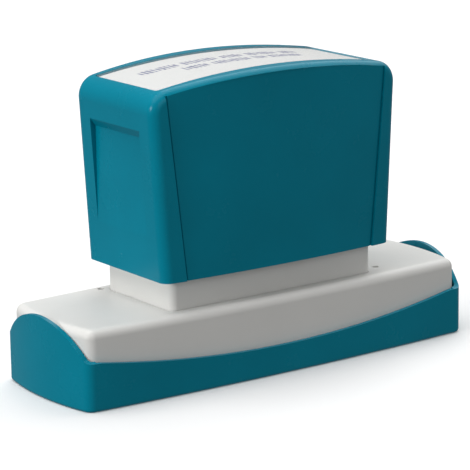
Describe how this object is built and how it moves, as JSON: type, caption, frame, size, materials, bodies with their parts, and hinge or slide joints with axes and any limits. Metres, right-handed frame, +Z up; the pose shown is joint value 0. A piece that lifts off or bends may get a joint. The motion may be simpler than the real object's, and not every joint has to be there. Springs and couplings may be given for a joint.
{
  "type": "pre-inked hand stamp",
  "caption": "Long pre-inked hand stamp: a sprung grip with an index window slides on a neck over a base that stands in its dust cap.",
  "frame": {"origin": "the middle of the dust cap's flat underside, which the stamp stands on", "axes": "+X along the stamp's length, +Y across it to the back, +Z up through the grip"},
  "size_m": [0.1124, 0.0382, 0.072],
  "materials": {
    "teal_plastic": "glossy moulded teal",
    "grey_plastic": "satin moulded light grey",
    "inner_plastic": "matt dark grey moulding",
    "frame_plastic": "matt grey moulding",
    "post_steel": "turned steel",
    "spring_steel": "drawn spring wire",
    "screw_steel": "zinc plated",
    "ink_felt": "felt soaked with blue ink",
    "plug_rubber": "soft black rubber",
    "die_rubber": "ink-stained dark red rubber",
    "clear_plastic": "clear moulded cover",
    "card_paper": "smooth white card"
  },
  "bodies": {
    "cap": {"dust_cap": "teal_plastic"},
    "base": {"base_housing": "grey_plastic", "guide_neck": "grey_plastic", "neck_screws": "screw_steel", "spring_washers": "screw_steel", "spring_left": "spring_steel", "spring_right": "spring_steel"},
    "grip": {"grip_shell": "teal_plastic", "bridge_plate": "inner_plastic", "post_left": "post_steel", "post_right": "post_steel", "print_tray": "inner_plastic", "tray_screws": "screw_steel", "print_frame": "frame_plastic", "ink_pad": "ink_felt", "ink_plug": "plug_rubber", "stamp_die": "die_rubber", "index_card": "card_paper"},
    "window": {"index_window": "clear_plastic"}
  },
  "joints": [
    {"name": "base_lift", "type": "slide", "parent": "cap", "child": "base", "axis": [0, 0, 1], "range_m": [0, 0.03]},
    {"name": "grip_press", "type": "slide", "parent": "base", "child": "grip", "axis": [0, 0, -1], "range_m": [0, 0.0055], "stiffness_N_per_m": 1200, "springref_m": -0.004, "deforming": ["spring_left", "spring_right"]},
    {"name": "window_lift", "type": "slide", "parent": "grip", "child": "window", "axis": [0, 0, 1], "range_m": [0, 0.01]}
  ]
}
